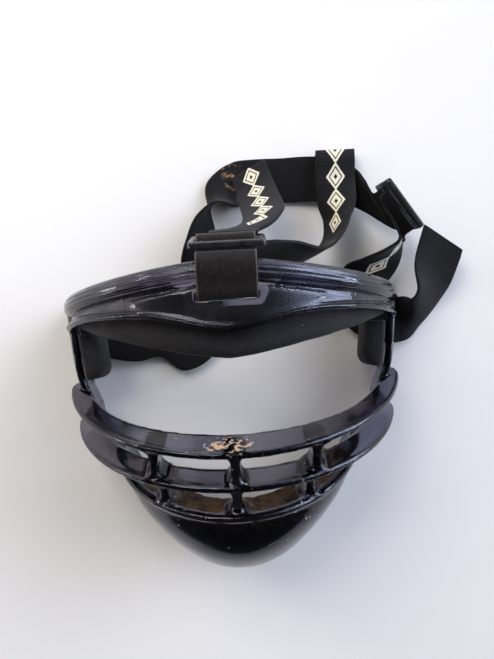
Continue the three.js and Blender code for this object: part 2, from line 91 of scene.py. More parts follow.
room = bpy.context.scene.world or bpy.data.worlds.new("room")
bpy.context.scene.world = room
room.use_nodes = True
room.node_tree.nodes.clear()
ROOM_GLOW = 0.08
SOFT_BOXES = [
    {"from": (0.86, 0.36, 0.3), "spread": 11, "glow": 11.5, "colour": "#e0e9ff"},
    {"from": (-1, 0.2, 0.08), "spread": 13, "glow": 2.2, "colour": "#fff2e6"},
]
around = add(room, "ShaderNodeTexCoord").outputs["Generated"]
glow = [ROOM_GLOW * c for c in linear("#f2f3f7")[:3]]
for row in SOFT_BOXES:
    towards = Vector(row["from"]).normalized()
    facing = add(room, "ShaderNodeVectorMath", {0: around, 1: towards}, operation="DOT_PRODUCT")
    lit = add(room, "ShaderNodeMath", {0: facing.outputs["Value"], 1: 0}, operation="MAXIMUM")
    faded = add(room, "ShaderNodeMath", {0: lit.outputs[0], 1: row["spread"]}, operation="POWER")
    tinted = [row["glow"] * c for c in linear(row["colour"])[:3]]
    summed = add(room, "ShaderNodeVectorMath", {0: faded.outputs[0], 1: tinted, 2: glow}, operation="MULTIPLY_ADD")
    glow = summed.outputs[0]
room_light = add(room, "ShaderNodeBackground", {"Color": glow, "Strength": 1})
add(room, "ShaderNodeOutputWorld", {"Surface": room_light.outputs[0]})

LAMPS_AIM = (0, 0, 30)
LAMPS = [
    {"name": "big_lamp", "at": (-470, 760, 900), "size": 0.8, "watts": 12, "colour": "#fffaf4"},
    {"name": "left_edge_lamp", "at": (-840, 570, 420), "size": 0.16, "watts": 1.6, "colour": "#fffaf4"},
    {"name": "left_post_lamp", "at": (-1000, -180, 210), "size": 0.18, "watts": 1.5, "colour": "#fffaf4"},
    {"name": "right_post_lamp", "at": (1000, -180, 210), "size": 0.18, "watts": 1.5, "colour": "#e6edff"},
    {"name": "right_edge_lamp", "at": (640, 800, 330), "size": 0.3, "watts": 2.6, "colour": "#dfe8ff"},
]
for row in LAMPS:
    aim = place(LAMPS_AIM) - place(row["at"])
    bpy.ops.object.select_all(action="DESELECT")
    bpy.ops.object.light_add(type="AREA", location=place(row["at"]), rotation=aim.to_track_quat("-Z", "Y").to_euler())
    lamp = bpy.context.object
    lamp.name = row["name"]
    lamp.data.size = row["size"]
    lamp.data.energy = row["watts"]
    lamp.data.color = linear(row["colour"])[:3]
bpy.context.scene.view_settings.view_transform = "Standard"


# Floor: a plain pale matt board that the mask lies on.
# Painted board gives an even, soft white with a faint mottle, 0.4 mm clear of the mask's rear edges.
FLOOR = {"width": 4000, "drop": 0.4, "mottle": 120}


def new_material(name):
    material = bpy.data.materials.new(name)
    material.use_nodes = True
    material.node_tree.nodes.clear()
    return material


def finish_surface(material, shader, volume=None):
    inputs = {"Surface": shader.outputs[0]}
    if volume:
        inputs["Volume"] = volume.outputs[0]
    add(material, "ShaderNodeOutputMaterial", inputs)


bpy.ops.object.select_all(action="DESELECT")
bpy.ops.mesh.primitive_plane_add(size=FLOOR["width"] / 1000, location=(0, 0, -FLOOR["drop"] / 1000))
floor = bpy.context.object
floor.name = "floor"
bpy.ops.object.transform_apply(location=True, rotation=True, scale=True)
board = new_material("painted_board")
spot = add(board, "ShaderNodeTexCoord").outputs["Object"]
mottle = add(board, "ShaderNodeTexNoise", {"Vector": spot, "Scale": 1000 / FLOOR["mottle"], "Detail": 3})
tone = add(board, "ShaderNodeMix", {0: mottle.outputs["Fac"], 6: linear("#e2e0dd"), 7: linear("#eae8e6")},
           data_type="RGBA")
finish_surface(board, add(board, "ShaderNodeBsdfPrincipled", {"Base Color": tone.outputs[2], "Roughness": 0.75}))
floor.data.materials.append(board)


# Shell: one injection moulding of clear smoke-navy polycarbonate, with its brow, posts, fins, webs and chin cup.
# Each form is lofted on its own, and a fine remesh joins them into one skin with moulded fillets.
WALL = 3
SKIN = 1
AROUND = 150
BROW = {"half_width": 89.5, "depth": 89, "top_drop": 10.5, "top_bend": 1.3}
BROW_RIM = {"y": 7, "dip": 7.4, "dip_width": 24, "end_start": 60, "end_span": 20, "end_drop": 2}
POINTED_PANEL = {"tip": 43, "tip_y": 14.1, "upper_slope": 0.147, "lower_slope": 0.89, "lower_edge": 0.75,
                 "lift": 1, "edge": 1.1}
POST_ROWS = [
    {"y": 18, "half_width": 89.5, "reach": 25},
    {"y": 5, "half_width": 89.5, "reach": 25},
    {"y": -20, "half_width": 86.5, "reach": 23},
    {"y": -33, "half_width": 81.5, "reach": 21},
    {"y": -48, "half_width": 77, "reach": 20},
    {"y": -60, "half_width": 68.5, "reach": 20},
]
POST_RIM = {"radius": 2.1, "inset": 1, "start": 0.12, "end": 0.6}
FINS = [
    {"inner": {"half_width": 80, "depth": 70.5, "rear_y": -25, "lean": 0.32},
     "outer": {"half_width": 91, "depth": 88, "rear_y": -19.7, "lean": 0.379}},
    {"inner": {"half_width": 76, "depth": 70, "rear_y": -38, "lean": 0.36},
     "outer": {"half_width": 87.6, "depth": 85, "rear_y": -40, "lean": 0.33}},
]
FIN = {"thickness": 2.6, "bead": 3, "bead_width": 2.4, "end_width": 0.2, "end_reach": 22,
       "bed": 1.8, "bed_from": 19, "bed_span": 12}
CHIN_ROWS = [
    {"rear_y": -54, "lean": 0.33, "half_width": 67, "depth": 82},
    {"rear_y": -68, "lean": 0.3, "half_width": 60.5, "depth": 80},
    {"rear_y": -84, "lean": 0.25, "half_width": 49.5, "depth": 73},
    {"rear_y": -100, "lean": 0.19, "half_width": 37.5, "depth": 60},
    {"rear_y": -111, "lean": 0.12, "half_width": 26.5, "depth": 44},
    {"rear_y": -118, "lean": 0.05, "half_width": 14, "depth": 22},
    {"rear_y": -120, "lean": 0, "half_width": 0, "depth": 0},
]
CHIN_END = 0.965
CHIN_RIM = {"width": 4.5, "thickness": 3.6}
WEB = {"half": 2, "fillet": 4.5, "front_inset": 1.6, "rear_inset": 1.2}
UPPER_WEBS = [-36, 0, 36]
LOWER_WEBS = [-33, 0, 33]
LOWER_WEB_DEPTH = 9
TAB_SLOT = {"at": (0.1, 14.9, 89), "size": (26.4, 3.8, 12)}
TEMPLE_SLOT = {"at": (89.5, 1.6, 5.2), "size": (24, 27.5, 4.4)}


def ease(value):
    t = min(max(value, 0), 1)
    return t * t * (3 - 2 * t)


def blend(a, b, share):
    return a + (b - a) * share


def row_at(rows, share):
    spot = min(max(share, 0), 1) * (len(rows) - 1)
    i = min(int(spot), len(rows) - 2)
    t = spot - i
    row = {}
    for column in rows[0]:
        a, b, c, d = (rows[min(max(k, 0), len(rows) - 1)][column] for k in (i - 1, i, i + 1, i + 2))
        leave, arrive = (c - a) / 2, (d - b) / 2
        bend, twist = 3 * (c - b) - 2 * leave - arrive, leave + arrive - 2 * (c - b)
        row[column] = b + leave * t + bend * t ** 2 + twist * t ** 3
    return row


def arch_point(arch, angle):
    z = arch["depth"] * math.cos(angle)
    return Vector((arch["half_width"] * math.sin(angle), arch["rear_y"] - arch["lean"] * z, z))


def above_table(point):
    return Vector((point[0], point[1], max(point[2], 0)))


def ring_points(corners, count):
    steps = [(corners[(k + 1) % len(corners)] - corner).length for k, corner in enumerate(corners)]
    total = sum(steps)
    points, k, passed = [], 0, 0
    for j in range(count):
        goal = total * j / count
        while passed + steps[k] < goal:
            passed += steps[k]
            k += 1
        points.append(corners[k].lerp(corners[(k + 1) % len(corners)], (goal - passed) / max(steps[k], 1e-9)))
    return points


# A closed bar through sections, as a grid bent round on itself and capped at its ends.
def loft(name, columns, rows, section):
    rings = [ring_points(section(i / columns), rows) for i in range(columns + 1)]
    bpy.ops.object.select_all(action="DESELECT")
    bpy.ops.mesh.primitive_grid_add(x_subdivisions=columns, y_subdivisions=rows, size=2)
    bar = bpy.context.object
    bar.name = name
    for vertex in bar.data.vertices:
        i = round((vertex.co.x + 1) / 2 * columns)
        j = round((vertex.co.y + 1) / 2 * rows)
        vertex.co = place(rings[i][j % rows])
    bpy.ops.object.mode_set(mode="EDIT")
    bpy.ops.mesh.select_all(action="SELECT")
    bpy.ops.mesh.remove_doubles(threshold=1e-6)
    bpy.ops.mesh.fill_holes(sides=0)
    bpy.ops.mesh.select_all(action="SELECT")
    bpy.ops.mesh.normals_make_consistent(inside=False)
    bpy.ops.object.mode_set(mode="OBJECT")
    return bar


def pick(piece):
    bpy.ops.object.select_all(action="DESELECT")
    bpy.context.view_layer.objects.active = piece
    piece.select_set(True)


def smooth_all(piece):
    pick(piece)
    bpy.ops.object.shade_smooth()


def apply_modifier(piece, kind, **settings):
    pick(piece)
    modifier = piece.modifiers.new(kind.lower(), kind)
    for name, value in settings.items():
        setattr(modifier, name, value)
    bpy.ops.object.modifier_apply(modifier=modifier.name)


def one_skin(pieces, name, voxel, smoothing):
    skin = pieces[0]
    pick(skin)
    for piece in pieces:
        piece.select_set(True)
    if len(pieces) > 1:
        bpy.ops.object.join()
    skin.name = name
    skin.data.name = name
    skin.data.remesh_voxel_size = voxel / 1000
    bpy.ops.object.voxel_remesh()
    apply_modifier(skin, "SMOOTH", factor=0.5, iterations=smoothing)
    return skin


def brow_top(x):
    return BROW_TOP - BROW["top_drop"] * abs(x / BROW["half_width"]) ** BROW["top_bend"]


def brow_bottom(x):
    dip = BROW_RIM["dip"] * math.exp(-((x / BROW_RIM["dip_width"]) ** 2))
    end = max(abs(x) - BROW_RIM["end_start"], 0) / BROW_RIM["end_span"]
    return BROW_RIM["y"] - dip - BROW_RIM["end_drop"] * end ** 2


def brow_point(angle, out, y):
    normal = Vector((math.sin(angle) / BROW["half_width"], 0, math.cos(angle) / BROW["depth"])).normalized()
    face = Vector((BROW["half_width"] * math.sin(angle), y, BROW["depth"] * math.cos(angle)))
    return face + normal * out


def panel_lift(x, y):
    from_tip = POINTED_PANEL["tip"] - abs(x)
    below = POINTED_PANEL["tip_y"] + POINTED_PANEL["upper_slope"] * from_tip - y
    above = y - POINTED_PANEL["tip_y"] + POINTED_PANEL["lower_slope"] * from_tip
    inside = min(below, above * POINTED_PANEL["lower_edge"])
    return POINTED_PANEL["lift"] * ease(0.5 + inside / POINTED_PANEL["edge"])


def brow_section(share):
    angle = math.pi * (share - 0.5)
    x = BROW["half_width"] * math.sin(angle)
    top, low = brow_top(x), brow_bottom(x)
    panel = [blend(low + 3.8, top - 11.6, k / 16) for k in range(17)]
    profile = [
        (-WALL, low + 1), (-1.6, low), (0.8, low - 0.2), (2.2, low + 0.6), (2.4, low + 1.8), (1.2, low + 3),
        *[(panel_lift(x, y), y) for y in panel],
        (-1, top - 10.6), (-0.6, top - 9.9), (1.6, top - 9), (2.9, top - 7), (3.2, top - 5), (2.8, top - 2.6),
        (1.8, top - 0.8), (0.2, top), (-2, top), (-3.6, top - 1), (-4.2, top - 2.8), (-WALL, top - 5),
    ]
    return [above_table(brow_point(angle, out, y)) for out, y in profile]


def wall_x(half_width, z):
    return half_width * math.sqrt(1 - (z / BROW["depth"]) ** 2)


def post_section(side):
    def section(share):
        row = row_at(POST_ROWS, share)
        depths = [row["reach"] * k / 8 for k in range(9)]
        outside = [Vector((side * wall_x(row["half_width"], z), row["y"], z)) for z in depths]
        inside = [Vector((side * wall_x(row["half_width"] - WALL, z), row["y"], z)) for z in reversed(depths)]
        return outside + inside
    return section


def post_rim_section(side):
    def section(share):
        row = row_at(POST_ROWS, blend(POST_RIM["start"], POST_RIM["end"], share))
        z = row["reach"] - POST_RIM["inset"]
        middle = Vector((side * wall_x(row["half_width"] - POST_RIM["inset"], z), row["y"], z))
        turns = [math.tau * k / 20 for k in range(20)]
        return [middle + Vector((math.cos(t), 0, math.sin(t))) * POST_RIM["radius"] for t in turns]
    return section


def fin_section(fin):
    def section(share):
        angle = math.pi * (share - 0.5)
        inner, full = arch_point(fin["inner"], angle), arch_point(fin["outer"], angle)
        bedded = FIN["bed"] * (1 - ease((inner.z - FIN["bed_from"]) / FIN["bed_span"]))
        inner = inner + (full - inner).normalized() * bedded
        outer = inner.lerp(full, blend(FIN["end_width"], 1, ease(full.z / FIN["end_reach"])))
        along = (outer - inner).normalized()
        across = (Vector((0, 1, 0)) - along * along.y).normalized()
        half, bead, width = FIN["thickness"] / 2, FIN["bead"] / 2, FIN["bead_width"]
        profile = [
            (inner, 0, -half), (outer, -width - 1.4, -half), (outer, -width, -half - 0.2), (outer, -width * 0.7, -bead),
            (outer, -width * 0.2, -bead * 0.95), (outer, 0, -half * 0.7), (outer, 0, half * 0.7),
            (outer, -width * 0.2, bead * 0.95), (outer, -width * 0.7, bead), (outer, -width, half + 0.2),
            (outer, -width - 1.4, half), (inner, 0, half),
        ]
        return [above_table(base + along * step + across * rise) for base, step, rise in profile]
    return section


def chin_point(inset, share, angle):
    row = row_at(CHIN_ROWS, share)
    return arch_point({
        "lean": row["lean"], "rear_y": row["rear_y"] + inset * share,
        "half_width": max(row["half_width"] - inset, 0), "depth": max(row["depth"] - inset, 0)}, angle)


def chin_section(share):
    down = CHIN_END * share
    angles = [math.pi * (k / 72 - 0.5) for k in range(73)]
    outside = [chin_point(0, down, angle) for angle in angles]
    inside = [chin_point(WALL, down, angle) for angle in reversed(angles)]
    return outside + inside


def chin_lip_section(share):
    angle = math.pi * (share - 0.5)
    rim = arch_point(CHIN_ROWS[0], angle)
    inward = Vector((-math.sin(angle), 0, -math.cos(angle)))
    half, width = CHIN_RIM["thickness"] / 2, CHIN_RIM["width"]
    profile = [
        (-1, -half / 2), (-1, half / 2), (0.4, half), (width - 0.6, half), (width, 0), (width - 0.6, -half),
        (0.4, -half),
    ]
    return [above_table(rim + inward * step + Vector((0, rise, 0))) for step, rise in profile]


def arch_at(arch, x):
    return arch_point(arch, math.asin(x / arch["half_width"]))


def fin_edges(fin, x):
    front, rear = arch_at(fin["outer"], x), arch_at(fin["inner"], x)
    inward = (rear - front).normalized()
    return front + inward * WEB["front_inset"], rear - inward * WEB["rear_inset"]


def chin_edges(x):
    front = arch_at(CHIN_ROWS[0], x) - Vector((0, 0, WEB["front_inset"]))
    return front, front + Vector((0, CHIN_ROWS[0]["lean"], -1)) * LOWER_WEB_DEPTH


def web_section(x, upper, lower):
    gap = (upper[0] - lower[0]).length

    def section(share):
        reach = min(share, 1 - share) * gap - FIN["thickness"] / 2
        short = min(max(WEB["fillet"] - reach, 0), WEB["fillet"])
        flare = WEB["fillet"] - math.sqrt(WEB["fillet"] ** 2 - short ** 2)
        half = WEB["half"] + flare
        front, rear = upper[0].lerp(lower[0], share), upper[1].lerp(lower[1], share)
        inward = (rear - front).normalized()
        corners = [(rear, -half), (rear, half), (front + inward, half), (front, half * 0.5), (front, -half * 0.5),
                   (front + inward, -half)]
        return [Vector((x + aside, spot.y, spot.z)) for spot, aside in corners]
    return section


def cut_slot(piece, slot, side):
    bpy.ops.object.select_all(action="DESELECT")
    spot = place((side * slot["at"][0], slot["at"][1], slot["at"][2]))
    bpy.ops.mesh.primitive_cube_add(size=1, location=spot, scale=[s / 1000 for s in slot["size"]])
    cutter = bpy.context.object
    bpy.ops.object.transform_apply(location=True, rotation=True, scale=True)
    apply_modifier(piece, "BOOLEAN", operation="DIFFERENCE", solver="EXACT", object=cutter)
    bpy.data.objects.remove(cutter)


brow = loft("brow", AROUND, 96, brow_section)
cut_slot(brow, TAB_SLOT, 1)
forms = [brow]
for side in (-1, 1):
    post = loft("post", 60, 40, post_section(side))
    cut_slot(brow, TEMPLE_SLOT, side)
    cut_slot(post, TEMPLE_SLOT, side)
    forms += [post, loft("post_rim", 50, 20, post_rim_section(side))]
forms += [loft("fin", AROUND, 60, fin_section(fin)) for fin in FINS]
forms += [loft("chin_cup", 70, 200, chin_section), loft("chin_lip", AROUND, 28, chin_lip_section)]
forms += [loft("web", 30, 24, web_section(x, fin_edges(FINS[0], x), fin_edges(FINS[1], x))) for x in UPPER_WEBS]
forms += [loft("web", 30, 24, web_section(x, fin_edges(FINS[1], x), chin_edges(x))) for x in LOWER_WEBS]
shell = one_skin(forms, "shell_moulding", SKIN, 4)

# The brow's face is drawn back onto its loft, away from the slot and the ends, so that its beads and V stay crisp.
BROW_FACE = {"within": 1.2, "within_fade": 0.4, "slot_gap": 0.6, "slot_fade": 1.2, "end": 76, "end_fade": 10,
             "below": 2}
clean_brow = loft("clean_brow", AROUND, 240, brow_section)
apply_modifier(clean_brow, "SMOOTH", factor=0.5, iterations=6)
face = shell.vertex_groups.new(name="brow_face")
for vertex in shell.data.vertices:
    x, y = (vertex.co - place((0, 0, 0))).xy * 1000
    if y < brow_bottom(x) - BROW_FACE["below"]:
        continue
    away = (clean_brow.closest_point_on_mesh(vertex.co)[1] - vertex.co).length * 1000
    from_slot = max(abs(c - at) - size / 2 for c, at, size in zip((x, y), TAB_SLOT["at"], TAB_SLOT["size"]))
    hold = [(BROW_FACE["within"] - away) / BROW_FACE["within_fade"],
            (from_slot - BROW_FACE["slot_gap"]) / BROW_FACE["slot_fade"],
            (BROW_FACE["end"] - abs(x)) / BROW_FACE["end_fade"]]
    if min(hold) > 0:
        face.add([vertex.index], min(1, *hold), "REPLACE")
apply_modifier(shell, "SHRINKWRAP", target=clean_brow, vertex_group="brow_face")
apply_modifier(shell, "SMOOTH", factor=0.5, iterations=2, vertex_group="brow_face")
bpy.data.objects.remove(clean_brow)
smooth_all(shell)

# Each point keeps its distance below the brow's top edge and above its lower rim, which the fine mould lines follow.
mould = shell.data.attributes.new("mould_lines", "FLOAT_VECTOR", "POINT")
for vertex in shell.data.vertices:
    x, y = (vertex.co - place((0, 0, 0))).xy * 1000
    mould.data[vertex.index].vector = (brow_top(x) - y, y - brow_bottom(x), 0)

# Moulded polycarbonate with a smoke dye: clear where it is seen face on and nearly black where it is seen edge on.
# The eye gets long streaks of light with a slight haze of handling, and field dirt caked on the upper fin.
# The chin cup's tint is painted darker, as painted shade for the black foam lining close behind it.
MOULD_LINES = [
    {"axis": 0, "spacing": 2.1, "start": 0.4, "end": 8.6},
    {"axis": 1, "spacing": 1.7, "start": 0.3, "end": 3.6},
]
FIN_DIRT = {"at": (-3, -49.8, 80), "size": (21, 8, 16)}
FIN_GRIT = {"z": (50, 70), "y": (-44, -50)}
CUP_PAINTED_SHADE = {"lean": CHIN_ROWS[1]["lean"], "y": (-59, -74)}
polycarbonate = new_material("smoke_polycarbonate")
spot = add(polycarbonate, "ShaderNodeTexCoord").outputs["Object"]
haze = add(polycarbonate, "ShaderNodeTexNoise", {"Vector": spot, "Scale": 1000 / 14, "Detail": 5, "Roughness": 0.65})
rough = add(polycarbonate, "ShaderNodeMapRange", {0: haze.outputs["Fac"], 1: 0.4, 2: 0.75, 3: 0.06, 4: 0.24})
ripple = add(polycarbonate, "ShaderNodeTexNoise", {"Vector": spot, "Scale": 1000 / 12, "Detail": 2})
relief = add(polycarbonate, "ShaderNodeBump", {
    "Height": ripple.outputs["Fac"], "Strength": 0.05, "Distance": 0.0006})
edges = add(polycarbonate, "ShaderNodeAttribute", attribute_name="mould_lines")
lines = add(polycarbonate, "ShaderNodeSeparateXYZ", {0: edges.outputs["Vector"]})
for row in MOULD_LINES:
    far, start, end = lines.outputs[row["axis"]], row["start"], row["end"]
    turn = add(polycarbonate, "ShaderNodeMath", {0: far, 1: math.tau / row["spacing"]}, operation="MULTIPLY")
    wave = add(polycarbonate, "ShaderNodeMath", {0: turn.outputs[0]}, operation="COSINE")
    opened = add(polycarbonate, "ShaderNodeMapRange", {0: far, 1: start, 2: start + 0.4, 3: 0, 4: 1})
    closed = add(polycarbonate, "ShaderNodeMapRange", {0: far, 1: end, 2: end - 0.6, 3: 0, 4: 1})
    part = add(polycarbonate, "ShaderNodeMath", {0: opened.outputs[0], 1: closed.outputs[0]}, operation="MULTIPLY")
    ridge = add(polycarbonate, "ShaderNodeMath", {0: wave.outputs[0], 1: part.outputs[0]}, operation="MULTIPLY")
    relief = add(polycarbonate, "ShaderNodeBump", {
        "Height": ridge.outputs[0], "Normal": relief.outputs[0], "Strength": 0.7, "Distance": 0.00014})
dirt_scale = [1000 / d for d in FIN_DIRT["size"]]
dirt_frame = add(polycarbonate, "ShaderNodeMapping", {
    "Vector": spot, "Scale": dirt_scale,
    "Location": [-c * scale for c, scale in zip(place(FIN_DIRT["at"]), dirt_scale)]})
from_dirt = add(polycarbonate, "ShaderNodeVectorMath", {0: dirt_frame.outputs[0]}, operation="LENGTH")
near_dirt = add(polycarbonate, "ShaderNodeMapRange", {
    0: from_dirt.outputs["Value"], 1: 1.1, 2: 0.25, 3: -0.24, 4: 0.06})
crumbs = add(polycarbonate, "ShaderNodeTexNoise", {"Vector": spot, "Scale": 1000 / 2.6, "Detail": 5, "Roughness": 0.6})
caked = add(polycarbonate, "ShaderNodeMath", {0: crumbs.outputs["Fac"], 1: near_dirt.outputs[0]}, operation="ADD")
cake = add(polycarbonate, "ShaderNodeMapRange", {0: caked.outputs[0], 1: 0.56, 2: 0.6, 3: 0, 4: 1})
axes = add(polycarbonate, "ShaderNodeSeparateXYZ", {0: spot})
rear, front = (z / 1000 for z in FIN_GRIT["z"])
forward = add(polycarbonate, "ShaderNodeMapRange", {0: axes.outputs[2], 1: rear, 2: front, 3: 0, 4: 1})
high, low = (place((0, y, 0)).y for y in FIN_GRIT["y"])
lower = add(polycarbonate, "ShaderNodeMapRange", {0: axes.outputs[1], 1: high, 2: low, 3: 0, 4: 1})
on_fins = add(polycarbonate, "ShaderNodeMath", {0: forward.outputs[0], 1: lower.outputs[0]}, operation="MULTIPLY")
grit = add(polycarbonate, "ShaderNodeTexNoise", {"Vector": spot, "Scale": 1000 / 2.2, "Detail": 2})
grains = add(polycarbonate, "ShaderNodeMapRange", {0: grit.outputs["Fac"], 1: 0.712, 2: 0.735, 3: 0, 4: 0.8})
crumb = add(polycarbonate, "ShaderNodeMath", {0: grains.outputs[0], 1: on_fins.outputs[0]}, operation="MULTIPLY")
dirt = add(polycarbonate, "ShaderNodeMath", {0: cake.outputs[0], 1: crumb.outputs[0]}, operation="MAXIMUM")
on_brow = add(polycarbonate, "ShaderNodeMapRange", {0: lines.outputs[0], 1: 30, 2: 22, 3: 0, 4: 0.028})
film = add(polycarbonate, "ShaderNodeMath", {0: on_brow.outputs[0], 1: haze.outputs["Fac"]}, operation="MULTIPLY")
veil = add(polycarbonate, "ShaderNodeMath", {0: film.outputs[0], 1: dirt.outputs[0]}, operation="MAXIMUM")
see_through = add(polycarbonate, "ShaderNodeMath", {0: 1, 1: veil.outputs[0]}, operation="SUBTRACT")
# Painted shade: the smoke tint darkens from the chin cup's rim downward, standing in for the dark lining behind it.
level = add(polycarbonate, "ShaderNodeMath", {0: axes.outputs[2], 1: CUP_PAINTED_SHADE["lean"], 2: axes.outputs[1]},
            operation="MULTIPLY_ADD")
high, low = (place((0, y, 0)).y for y in CUP_PAINTED_SHADE["y"])
painted_cup_shade = add(polycarbonate, "ShaderNodeMapRange", {0: level.outputs[0], 1: high, 2: low, 3: 0, 4: 1})
smoke = add(polycarbonate, "ShaderNodeMix", {0: painted_cup_shade.outputs[0], 6: linear("#d8d7e4"), 7: linear("#565672")},
            data_type="RGBA")
surface = add(polycarbonate, "ShaderNodeMix", {0: dirt.outputs[0], 6: smoke.outputs[2], 7: linear("#b08e66")},
              data_type="RGBA")
dull = add(polycarbonate, "ShaderNodeMix", {0: dirt.outputs[0], 2: rough.outputs[0], 3: 0.9})
clear = add(polycarbonate, "ShaderNodeBsdfPrincipled", {
    "Base Color": surface.outputs[2], "Roughness": dull.outputs[0], "IOR": 1.5, "Specular IOR Level": 0.24,
    "Specular Tint": linear("#dde3f5"), "Transmission Weight": see_through.outputs[0], "Normal": relief.outputs[0]})
dye = add(polycarbonate, "ShaderNodeVolumeAbsorption", {"Color": linear("#868096"), "Density": 480})
finish_surface(polycarbonate, clear, dye)
shell.data.materials.clear()
shell.data.materials.append(polycarbonate)
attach(shell, "root")
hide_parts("shell")


# Brow pad: a strip of black closed-cell foam, glued behind the brow band and hanging below its rim.
# It is die-cut with its lower edge rounded over and a notch that clears the tab, lofted along the brow as one skin.
BROW_PAD = {"reach": 1.25, "thickness": 10.5, "below_top": 5, "notch_floor": 10.4, "notch_half": 16, "notch_flare": 9,
            "low": -12, "low_rise": 17.5, "low_bend": 1.3, "edge": 3.5, "glue": 0.3}


def brow_pad_section(share):
    angle = BROW_PAD["reach"] * (2 * share - 1)
    x = BROW["half_width"] * math.sin(angle)
    beyond = ease((abs(x) - BROW_PAD["notch_half"]) / BROW_PAD["notch_flare"])
    top = blend(BROW_PAD["notch_floor"], brow_top(x) - BROW_PAD["below_top"], beyond)
    low = BROW_PAD["low"] + BROW_PAD["low_rise"] * abs(math.sin(angle)) ** BROW_PAD["low_bend"]
    front = -WALL - BROW_PAD["glue"]
    rear = front - BROW_PAD["thickness"]
    edge = min(BROW_PAD["edge"], (top - low) / 3)
    profile = [
        (front, low + edge), (front, top), (rear + edge, top), (rear + 1, top - 1), (rear, top - edge),
        (rear - 0.8, (top + low) / 2), (rear, low + edge), (rear + 1, low + 1), (rear + edge, low), (front - edge, low),
        (front - 1, low + 1)]
    return [brow_point(angle, out, y) for out, y in profile]


def soften(pad, depth, size):
    for vertex in pad.data.vertices:
        vertex.co += vertex.normal * (depth / 1000 * noise.noise(vertex.co * 1000 / size))


brow_pad = one_skin([loft("brow_pad", 120, 60, brow_pad_section)], "brow_foam", 1.1, 5)
soften(brow_pad, 0.35, 14)


# Closed-cell foam: matt charcoal with a fine open grain, a slight sheen at grazing light and pale field dust in it.
# Its real cells are about 0.3 mm, and are drawn at 0.8 mm so that they show in the render.
def closed_cell_foam(name):
    material = new_material(name)
    spot = add(material, "ShaderNodeTexCoord").outputs["Object"]
    cells = add(material, "ShaderNodeTexVoronoi", {"Vector": spot, "Scale": 1000 / 0.8})
    shade = add(material, "ShaderNodeTexNoise", {"Vector": spot, "Scale": 1000 / 11, "Detail": 4})
    tint = add(material, "ShaderNodeMix", {0: shade.outputs["Fac"], 6: linear("#08080a"), 7: linear("#1f1d20")},
               data_type="RGBA")
    dust = add(material, "ShaderNodeTexNoise", {"Vector": spot, "Scale": 1000 / 1.6, "Detail": 3, "Roughness": 0.6})
    specks = add(material, "ShaderNodeMapRange", {0: dust.outputs["Fac"], 1: 0.65, 2: 0.77, 3: 0, 4: 0.34})
    dusty = add(material, "ShaderNodeMix", {0: specks.outputs[0], 6: tint.outputs[2], 7: linear("#8d857a")},
                data_type="RGBA")
    grain = add(material, "ShaderNodeBump", {"Height": cells.outputs["Distance"], "Strength": 0.6, "Distance": 0.0003})
    matt = add(material, "ShaderNodeBsdfPrincipled", {
        "Base Color": dusty.outputs[2], "Roughness": 0.82, "Specular IOR Level": 0.25, "Sheen Weight": 0.06,
        "Normal": grain.outputs[0]})
    finish_surface(material, matt)
    return material, spot, matt, dusty.outputs[2]


foam = closed_cell_foam("closed_cell_foam")[0]
brow_pad.data.materials.append(foam)
smooth_all(brow_pad)
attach(brow_pad, "root")
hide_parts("brow_pad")


# Temple pads: two small blocks of the same foam, glued inside the side posts in front of the strap slots.
# Each is lofted up the post with its inner edges and its foot rounded.
TEMPLE_PAD = {"bottom": -22.5, "top": 1.6, "rear": 9.6, "middle": 20, "front": 30, "thickness": 10.6, "crown": 0.6,
              "edge": 4.6, "foot": 7.5, "glue": 0.8}


def temple_pad_section(side):
    def section(share):
        y = blend(TEMPLE_PAD["bottom"], TEMPLE_PAD["top"], share)
        passed = 1 + (POST_ROWS[1]["y"] - y) / (POST_ROWS[1]["y"] - POST_ROWS[2]["y"])
        half_width = row_at(POST_ROWS, passed / (len(POST_ROWS) - 1))["half_width"]
        rear, middle, front, foot = (TEMPLE_PAD[key] for key in ("rear", "middle", "front", "foot"))
        walls = [(wall_x(half_width - WALL, z) - TEMPLE_PAD["glue"], z) for z in (rear, middle, front)]
        near_foot = max(0, 1 - (y - TEMPLE_PAD["bottom"]) / foot)
        thickness = TEMPLE_PAD["thickness"] - foot * (1 - math.sqrt(1 - near_foot ** 2))
        edge = min(TEMPLE_PAD["edge"], 0.4 * thickness)
        face = walls[2][0] - thickness
        outline = walls + [
            (face + edge, front), (face + 1, front - 1), (face, front - edge), (face - TEMPLE_PAD["crown"], middle),
            (face, rear + edge), (face + 1, rear + 1), (face + edge, rear)]
        return [Vector((side * x, y, z)) for x, z in outline]
    return section


for side, hand in ((-1, "left"), (1, "right")):
    pad = one_skin([loft("temple_pad", 24, 60, temple_pad_section(side))], "temple_foam_" + hand, 0.9, 16)
    soften(pad, 0.3, 9)
    pad.data.materials.append(foam)
    smooth_all(pad)
    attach(pad, "root")
    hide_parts("temple_pad_" + hand)


# Chin pad: a thick foam lining pressed into the chin cup, rounded where the chin rests.
# It follows the cup's wall with a small gap, and its top edge shows brown with field dirt.
CHIN_PAD = {"reach": 1.22, "end_reach": 0.72, "end_bend": 4, "thickness": 16, "start": 0.07, "end": 0.69, "gap": 0.4}


def chin_pad_section(share):
    down = blend(CHIN_PAD["start"], CHIN_PAD["end"], share)
    reach = blend(CHIN_PAD["reach"], CHIN_PAD["end_reach"], share ** CHIN_PAD["end_bend"])
    angles = [reach * (k / 40 - 1) for k in range(81)]
    outside = [chin_point(WALL + CHIN_PAD["gap"], down, angle) for angle in angles]
    inside = [chin_point(WALL + CHIN_PAD["thickness"], down, angle) for angle in reversed(angles)]
    return outside + inside


chin_pad = one_skin([loft("chin_pad", 40, 190, chin_pad_section)], "chin_foam", 1.2, 8)
soften(chin_pad, 0.4, 13)

